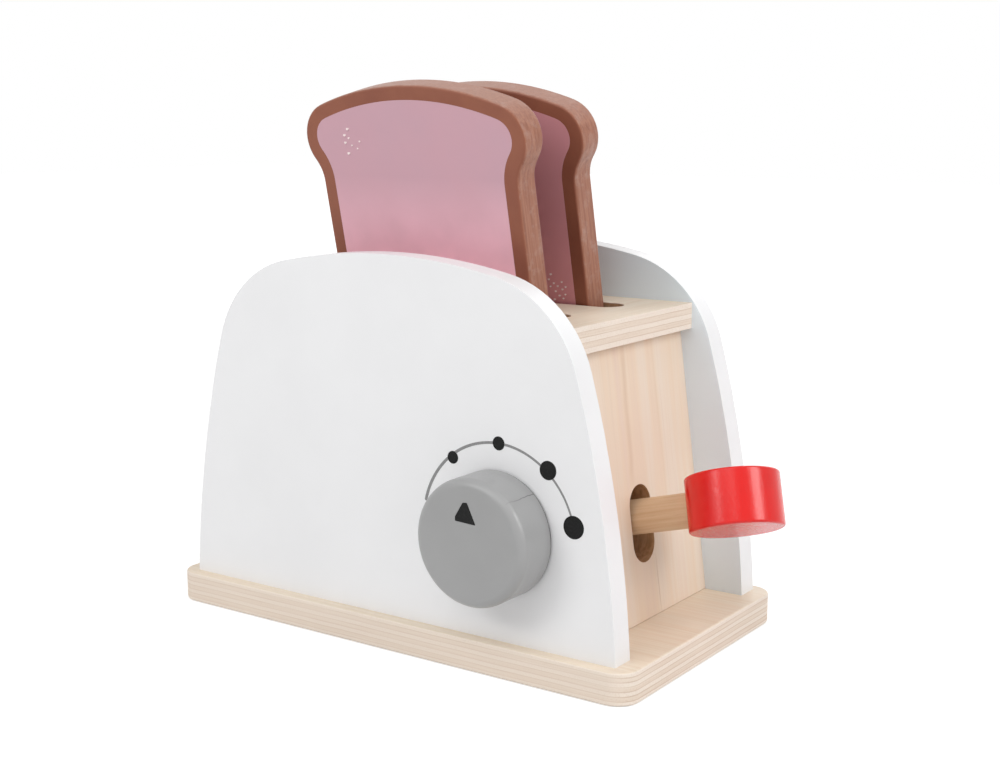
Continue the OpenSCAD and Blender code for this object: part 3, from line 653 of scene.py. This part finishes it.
slope = math.radians(leverStyle["slope"])
knobPlace = Matrix.Translation(Vector(leverStyle["pivot"]) * mm) @ Matrix.Rotation(-slope, 4, "Y")
knobPlace = knobPlace @ Matrix.Translation(Vector((leverStyle["reach"], 0, leverStyle["rise"])) * mm)
knobPlace = knobPlace @ Matrix.Rotation(-math.radians(leverStyle["roll"]), 4, "X")
knobPlace = knobPlace @ Matrix.Rotation(-math.radians(leverStyle["tip"]), 4, "Y")
bpy.ops.object.select_all(action="DESELECT")
bpy.ops.mesh.primitive_cylinder_add(vertices=leverStyle["sides"], radius=leverStyle["across"] / 2 * mm,
                                    depth=leverStyle["height"] * mm, location=knobPlace.to_translation(),
                                    rotation=knobPlace.to_euler())
knob = bpy.context.active_object
knob.name = "leverKnob"
bpy.ops.object.transform_apply(location=True, rotation=True, scale=True)
softenCorners(knob, lambda p: True, leverStyle["rim"], 5, 60)
finishPiece(knob, "lever", [glossRed("redGlossEnamel")], ["lever_knob"])
finishNode("lever_rod", turnedDowel("rodBeech", (0, slope, 0)))
print("lever made")


sliceStyle = {
    "lean": 12.4, "thick": 9.5, "slotPitch": 31.7, "slotTop": 105.6, "middle": 1.4, "edge": 0.9,
    "crust": "#90553E", "crustDark": "#854B37", "side": "#A46E56", "sideDark": "#8B5540",
    # the crown's paler tone: partly rubbed wear, partly painted light from above and sheen
    "fibre": "#B88E7E", "dusty": "#AE8C80", "rubbedAndToplit": "#B59083",
    # the print's border and shift on its slice, the heights between which its pinks change, and those pinks: lighter at
    # the foot as painted light where the front panel shades the slice, and darker and redder on the rear slice as
    # painted shade
    "border": 3.95, "shift": (-0.05, 0.4), "paintedLightFade": (119.0, 147.0),
    "print": ("#C9A0AC", "#FFC3D0", "#D0A0AB"), "rearPrintShaded": ("#CC8E96", "#E09DA6", "#CC8C93"),
    # speckles: x from the slice's middle, height above the slot, and width
    "speck": ("#F3E4E2", "#EACFD0"), "film": 0.08, "speckSides": 16,
    "frontSpecks": ((-24.5, 58.4, 1.15), (-26.1, 56.4, 1.1), (-24.6, 55.4, 0.8), (-26.2, 54.0, 1.0),
                    (-23.7, 53.1, 0.65), (-20.4, 54.4, 0.7), (-21.6, 52.1, 0.6), (-25.5, 50.6, 1.15)),
    "rearSpecks": ((24.7, 10.8, 0.9), (23.7, 9.0, 0.8), (25.5, 7.8, 0.8), (26.9, 6.9, 0.8), (28.6, 8.4, 0.8),
                   (25.9, 5.1, 0.8), (29.9, 6.8, 0.7), (24.1, 6.6, 0.7), (28.6, 5.9, 0.8), (27.2, 3.7, 0.8),
                   (29.5, 4.2, 0.7), (28.6, 2.8, 0.7), (25.2, 2.3, 0.8)),
}
lean = math.radians(sliceStyle["lean"])
outOfFace = Vector((0, -math.cos(lean), -math.sin(lean)))
upTheFace = Vector((0, -math.sin(lean), math.cos(lean)))
grainLeaning = (-lean, math.radians(90), 0)


def breadStain(name):
    # brown water stain on a sawn and sanded slice: flat on the faces, uneven on the sides
    finish = {"Roughness": 0.6, "IOR": 1.45, "Sheen Weight": 0.12, "Sheen Roughness": 0.45}
    material, tree, shader, inMm = startMaterial(name, finish)
    clouds = addNode(tree, "TexNoise", {"Vector": inMm, "Scale": 0.07, "Detail": 3.0})
    clouded = addNode(tree, "MapRange", {"Value": clouds, "From Min": 0.35, "From Max": 0.68})
    face = addNode(tree, "Mix",
                   {"data_type": "RGBA", "Factor": clouded, "A": sliceStyle["crust"], "B": sliceStyle["crustDark"]})

    # the sides: streaks, short pale fibres, dusty patches, and a crown painted paler where it faces up, partly as
    # rubbed wear and partly as painted light from above
    streaks = woodGrain(tree, inMm, grainLeaning, along=22, across=0.9)
    streaked = addNode(tree, "MapRange", {"Value": streaks, "From Min": 0.38, "From Max": 0.66})
    side = addNode(tree, "Mix",
                   {"data_type": "RGBA", "Factor": streaked, "A": sliceStyle["side"], "B": sliceStyle["sideDark"]})
    fibres = woodGrain(tree, inMm, grainLeaning, along=5, across=0.4)
    fibrous = addNode(tree, "MapRange", {"Value": fibres, "From Min": 0.6, "From Max": 0.76, "To Max": 0.6})
    side = addNode(tree, "Mix", {"data_type": "RGBA", "Factor": fibrous, "A": side, "B": sliceStyle["fibre"]})
    patches = addNode(tree, "TexNoise", {"Vector": inMm, "Scale": 0.22, "Detail": 5.0, "Roughness": 0.7})
    patchy = addNode(tree, "MapRange", {"Value": patches, "From Min": 0.5, "From Max": 0.68, "To Max": 0.55})
    side = addNode(tree, "Mix", {"data_type": "RGBA", "Factor": patchy, "A": side, "B": sliceStyle["dusty"]})
    facing = addNode(tree, "TexCoord")
    # painted light: faces that turn upward are mixed towards the paler tone
    paintedTopLight = addNode(tree, "SeparateXYZ", {0: (facing, "Normal")})
    paintedTopLight = addNode(tree, "MapRange", {"Value": (paintedTopLight, "Z"), "From Min": 0.3, "From Max": 0.95, "To Max": 0.4})
    side = addNode(tree, "Mix", {"data_type": "RGBA", "Factor": paintedTopLight, "A": side, "B": sliceStyle["rubbedAndToplit"]})

    leaned = addNode(tree, "Mapping", {"Vector": (facing, "Normal"), "Rotation": (-lean, 0, 0)})
    leaned = addNode(tree, "SeparateXYZ", {0: leaned})
    towardsFace = addNode(tree, "Math", {"operation": "ABSOLUTE", 0: (leaned, "Y")})
    onFace = addNode(tree, "MapRange", {"Value": towardsFace, "From Min": 0.6, "From Max": 0.85})
    joinTo(tree, shader, "Base Color",
           addNode(tree, "Mix", {"data_type": "RGBA", "Factor": onFace, "A": side, "B": face}))
    joinTo(tree, shader, "Roughness", addNode(tree, "MapRange", {"Value": onFace, "To Min": 0.52, "To Max": 0.58}))
    joinTo(tree, shader, "Normal", addNode(tree, "Bump", {"Height": fibres, "Distance": 0.08 * mm, "Strength": 0.5}))
    return material


def pinkPrint(name, high, low, warm):
    # pink screen print on the slice's face: a lighter, pinker tone lower down as painted light against the front
    # panel's shade, soft clouds and a fine grit
    material, tree, shader, inMm = startMaterial(name, {"Roughness": 0.5, "IOR": 1.48})
    foot, head = sliceStyle["paintedLightFade"]
    height = addNode(tree, "SeparateXYZ", {0: inMm})
    # painted light: the pink grows lighter towards the foot
    height = addNode(tree, "MapRange", {"Value": (height, "Z"), "From Min": foot, "From Max": head})
    colour = addNode(tree, "Mix", {"data_type": "RGBA", "Factor": height, "A": low, "B": high})
    clouds = addNode(tree, "TexNoise", {"Vector": inMm, "Scale": 0.05, "Detail": 3.0})
    clouded = addNode(tree, "MapRange", {"Value": clouds, "From Min": 0.35, "From Max": 0.7, "To Max": 0.5})
    joinTo(tree, shader, "Base Color",
           addNode(tree, "Mix", {"data_type": "RGBA", "Factor": clouded, "A": colour, "B": warm}))
    grit = addNode(tree, "TexNoise", {"Vector": inMm, "Scale": 2.2, "Detail": 2.0})  # about 0.5 mm
    rough = addNode(tree, "MapRange", {"Value": grit, "From Min": 0.3, "From Max": 0.7, "To Min": 0.46, "To Max": 0.56})
    joinTo(tree, shader, "Roughness", rough)
    joinTo(tree, shader, "Normal", addNode(tree, "Bump", {"Height": grit, "Distance": 0.02 * mm, "Strength": 0.4}))
    return material


def breadSlice(nodeName, pieceName, slotY, ink):
    # a slice with rounded rims and a print inset in its front face; gives back the face's middle at the slot
    piece = copyOfNode(nodeName, pieceName)
    middle = Vector((sliceStyle["middle"], slotY, sliceStyle["slotTop"]))
    half = sliceStyle["thick"] / 2
    softenCorners(piece, lambda p: abs(abs((p - middle).dot(outOfFace)) - half) < slack, sliceStyle["edge"], 4, 60)
    piece.data.materials.append(stainedWood)
    piece.data.materials.append(ink)
    pickOnly(piece)
    bpy.ops.object.mode_set(mode="EDIT")
    pickFaces(piece, lambda at, normal: normal.dot(outOfFace) > 0.9999 and (at - middle).dot(outOfFace) > half - slack)
    bpy.ops.mesh.inset(thickness=sliceStyle["border"] * mm, depth=0)
    piece.active_material_index = 1
    bpy.ops.object.material_slot_assign()
    aside, higher = sliceStyle["shift"]
    bpy.ops.transform.translate(value=(Vector((aside, 0, 0)) + upTheFace * higher) * mm)
    bpy.ops.object.mode_set(mode="OBJECT")
    finishPiece(piece, nodeName, nodes=[nodeName])
    return middle + outOfFace * half


def speckles(name, body, faceMiddle, places):
    # small printed drops, each a disc with the film's thickness, all in one piece
    drops = []
    for x, height, across in places:
        at = faceMiddle + Vector((x, 0, 0)) + upTheFace * height + outOfFace * sliceStyle["film"] / 2
        bpy.ops.object.select_all(action="DESELECT")
        bpy.ops.mesh.primitive_cylinder_add(vertices=sliceStyle["speckSides"], radius=across / 2 * mm,
                                            depth=sliceStyle["film"] * mm, location=at * mm,
                                            rotation=(math.radians(90) - lean, 0, 0))
        drops.append(bpy.context.active_object)
    for drop in drops:
        drop.select_set(True)
    bpy.context.view_layer.objects.active = drops[0]
    bpy.ops.object.transform_apply(location=True, rotation=True, scale=True)
    bpy.ops.object.join()
    joined = bpy.context.active_object
    joined.name = name
    finishPiece(joined, body, [speckInk])


stainedWood = breadStain("brownStainedBirch")
pinkInk = pinkPrint("pinkScreenPrint", *sliceStyle["print"])
# the rear slice's print: a darker, redder copy of the front print, as painted shade from the front slice
shadedRearInk = pinkPrint("rosyScreenPrintShaded", *sliceStyle["rearPrintShaded"])
speckInk = printedInk("paleSpeckPrint", *sliceStyle["speck"])
frontFace = breadSlice("front_slice", "frontSlice", -sliceStyle["slotPitch"] / 2, pinkInk)
rearFace = breadSlice("rear_slice", "rearSlice", sliceStyle["slotPitch"] / 2, shadedRearInk)
speckles("frontSpeckles", "front_slice", frontFace, sliceStyle["frontSpecks"])
speckles("rearSpeckles", "rear_slice", rearFace, sliceStyle["rearSpecks"])
print("slices made")


insideStyle = {
    "tray": (64.1, 6, 5),  # the tray board's underside and thickness in mm, and its plies
    "post": ("#DDBE98", "#C49C70"), "steel": ("#B9BDC2", "#9EA3A9"), "felt": ("#3C3D40", "#5C5D61"),
}


def zincSteel(name):
    # zinc-plated steel screws and pin: pale bluish metal with fine turning marks
    material, tree, shader, inMm = startMaterial(name, {"Metallic": 1.0, "Roughness": 0.35})
    light, dark = insideStyle["steel"]
    marks = addNode(tree, "TexNoise", {"Vector": inMm, "Scale": 3.0, "Detail": 3.0})
    joinTo(tree, shader, "Base Color",
           addNode(tree, "Mix", {"data_type": "RGBA", "Factor": marks, "A": light, "B": dark}))
    joinTo(tree, shader, "Roughness", addNode(tree, "MapRange", {"Value": marks, "To Min": 0.28, "To Max": 0.46}))
    return material


def woolFelt(name):
    # pressed grey wool felt: matt, with short tangled fibres
    material, tree, shader, inMm = startMaterial(name, {"Roughness": 0.95, "Sheen Weight": 0.3})
    dark, light = insideStyle["felt"]
    tangle = {"Vector": inMm, "Scale": 2.4, "Detail": 5.0, "Roughness": 0.7, "Distortion": 1.2}
    fibres = addNode(tree, "TexNoise", tangle)
    joinTo(tree, shader, "Base Color",
           addNode(tree, "Mix", {"data_type": "RGBA", "Factor": fibres, "A": dark, "B": light}))
    joinTo(tree, shader, "Normal", addNode(tree, "Bump", {"Height": fibres, "Distance": 0.25 * mm, "Strength": 0.8}))
    return material


insideMaterials = (
    (zincSteel("zincPlatedSteel"), ("pivot_pin", "base_screws", "block_screws")),
    (woolFelt("greyWoolFelt"), ("rest_pad",)),
    (boardWood("innerBirch", grainUp), ("pivot_block_front", "pivot_block_rear", "tray_leg")),
    (birchPlywood("trayPlywood", *insideStyle["tray"]), ("tray_board",)),
    (turnedDowel("postBeech", grainLeaning, *insideStyle["post"]), ("guide_post_lever_end", "guide_post_plain_end")),
    (turnedDowel("crossDowelBeech", grainBack), ("dial_spindle", "dial_collar", "joining_dowels")),
)
for material, nodeNames in insideMaterials:
    for nodeName in nodeNames:
        finishNode(nodeName, material)
print("inner parts finished")


studio = {
    "ambient": 0.42, "white": (1, 1, 1, 1),
    "floorSide": 6.0, "floorColour": "#E2E2E2", "floorGlow": (0.5, 0.82), "glowReach": (0.25, 1.1), "floorDrop": 0.2,
    "aim": (0.02, 0, 0.06),
    # each lamp: azimuth from the front towards the lever, elevation, distance in metres, width, height, watts
    "keyLamp": (-24, 31, 1.3, 0.56, 0.4, 3.7), "overLamp": (8, 49, 1.3, 1.0, 0.8, 4.5),
    "sideLamp": (91, 34, 1.2, 0.42, 0.6, 5.9), "backLamp": (186, 21, 1.4, 0.8, 0.6, 3.3),
    # where the photo was taken from, fitted to the outlines of the boards; the angles are in radians
    "camera": (0.295421, -0.406241, 0.168058), "cameraDown": 0.177948, "cameraTurn": 0.608710,
    "sensor": 36, "lens": 55.206,
}


def litBackground(tree, seenAs, lightsAs, output):
    # what the camera and mirror-like rays see, against what lights the object
    path = addNode(tree, "LightPath")
    seen = addNode(tree, "Math", {"operation": "MAXIMUM", 0: (path, "Is Camera Ray"), 1: (path, "Is Glossy Ray")})
    seen = addNode(tree, "Math", {"operation": "MAXIMUM", 0: seen, 1: (path, "Is Transmission Ray")})
    joinTo(tree, output, "Surface", addNode(tree, "MixShader", {0: seen, 1: lightsAs, 2: seenAs}))


world = bpy.data.worlds.new("whiteStudio")
bpy.context.scene.world = world
world.use_nodes = True
room = world.node_tree
room.nodes.clear()
bright = addNode(room, "Background", {"Color": studio["white"], "Strength": 1.0})
ambient = addNode(room, "Background", {"Color": studio["white"], "Strength": studio["ambient"]})
litBackground(room, bright, ambient, addNode(room, "OutputWorld"))

bpy.ops.object.select_all(action="DESELECT")
bpy.ops.mesh.primitive_plane_add(size=studio["floorSide"], location=(0, 0, -studio["floorDrop"] * mm))
floor = bpy.context.active_object
floor.name = "paleFloor"
paper = bpy.data.materials.new("whiteBackgroundPaper")
paper.use_nodes = True
sheet = paper.node_tree
sheet.nodes.clear()
matt = addNode(sheet, "BsdfDiffuse", {"Color": studio["floorColour"]})
# the paper is lit from behind, more strongly away from the toy, so that it runs to white at the horizon
place = addNode(sheet, "TexCoord")
fromToy = addNode(sheet, "VectorMath", {"operation": "LENGTH", "Vector": (place, "Object")})
(near, far), (dim, full) = studio["glowReach"], studio["floorGlow"]
brighter = addNode(sheet, "MapRange",
                   {"Value": fromToy, "From Min": near, "From Max": far, "To Min": dim, "To Max": full})
glow = addNode(sheet, "Emission", {"Color": studio["white"], "Strength": brighter})
litBackground(sheet, addNode(sheet, "AddShader", {0: matt, 1: glow}), matt, addNode(sheet, "OutputMaterial"))
floor.data.materials.append(paper)
floor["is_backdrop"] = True

for name in ("keyLamp", "overLamp", "sideLamp", "backLamp"):
    azimuth, elevation, distance, wide, high, watts = studio[name]
    around, rise = math.radians(azimuth), math.radians(elevation)
    towards = Vector((math.sin(around) * math.cos(rise), -math.cos(around) * math.cos(rise), math.sin(rise)))
    bpy.ops.object.light_add(type="AREA", location=Vector(studio["aim"]) + towards * distance,
                             rotation=towards.to_track_quat("Z", "Y").to_euler())
    lamp = bpy.context.active_object
    lamp.name = name
    lamp.data.shape = "RECTANGLE"
    lamp.data.size, lamp.data.size_y = wide, high
    lamp.data.energy = watts
    lamp.visible_camera = False

bpy.ops.object.camera_add(location=studio["camera"],
                          rotation=(math.radians(90) - studio["cameraDown"], 0, studio["cameraTurn"]))
camera = bpy.context.active_object
camera.name = "photoCamera"
camera.data.sensor_width = studio["sensor"]
camera.data.lens = studio["lens"]
camera.data.clip_start = 0.01
bpy.context.scene.camera = camera
bpy.context.scene.view_settings.view_transform = "Standard"
print("studio made")

visibleLow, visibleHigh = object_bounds()
solidsBox = [round((high - low) / mm, 1) for low, high in zip(cadLow, cadHigh)]
dressedBox = [round((high - low) / mm, 1) for low, high in zip(visibleLow, visibleHigh)]
print("box of the solids", solidsBox, "and of the dressed part", dressedBox)
